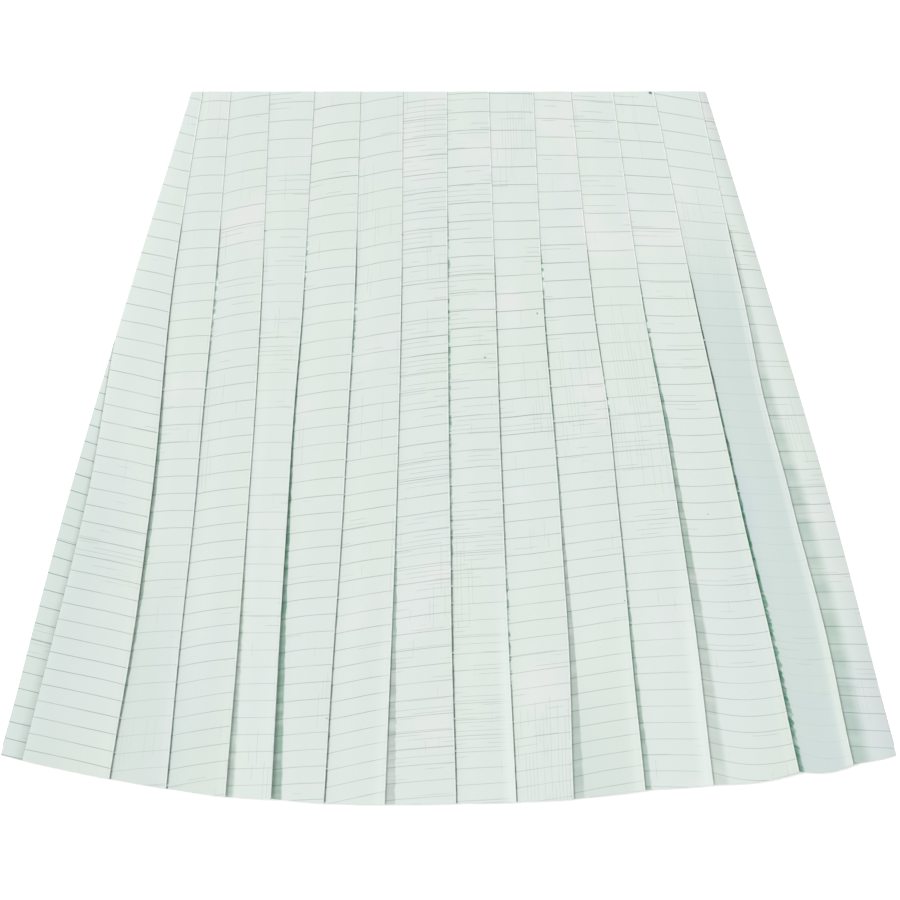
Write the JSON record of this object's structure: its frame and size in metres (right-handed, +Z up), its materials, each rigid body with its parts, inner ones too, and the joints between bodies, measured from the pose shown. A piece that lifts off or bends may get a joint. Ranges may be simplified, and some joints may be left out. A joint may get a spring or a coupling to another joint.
{
  "type": "pleated mini skirt",
  "caption": "Knife-pleated A-line mini skirt laid flat, front up, with pleats sewn down at the hip and open to a curved hem.",
  "frame": {"origin": "middle of the flat underside, on the surface that the skirt lies on", "axes": "+X across the skirt from its right side seam to its left one as worn, +Y along it from the hem to the waist, +Z up from the surface through the back panel to the front panel"},
  "size_m": [0.573, 0.457, 0.0136],
  "materials": {
    "cloth": "soft matt woven cloth with fine lines across it",
    "zip_tape": "matt woven tape",
    "zip_metal": "satin"
  },
  "bodies": {
    "root": {"front_panel": "cloth", "back_panel": "cloth", "side_zip": "zip_tape", "zip_slider": "zip_metal"}
  },
  "joints": []
}
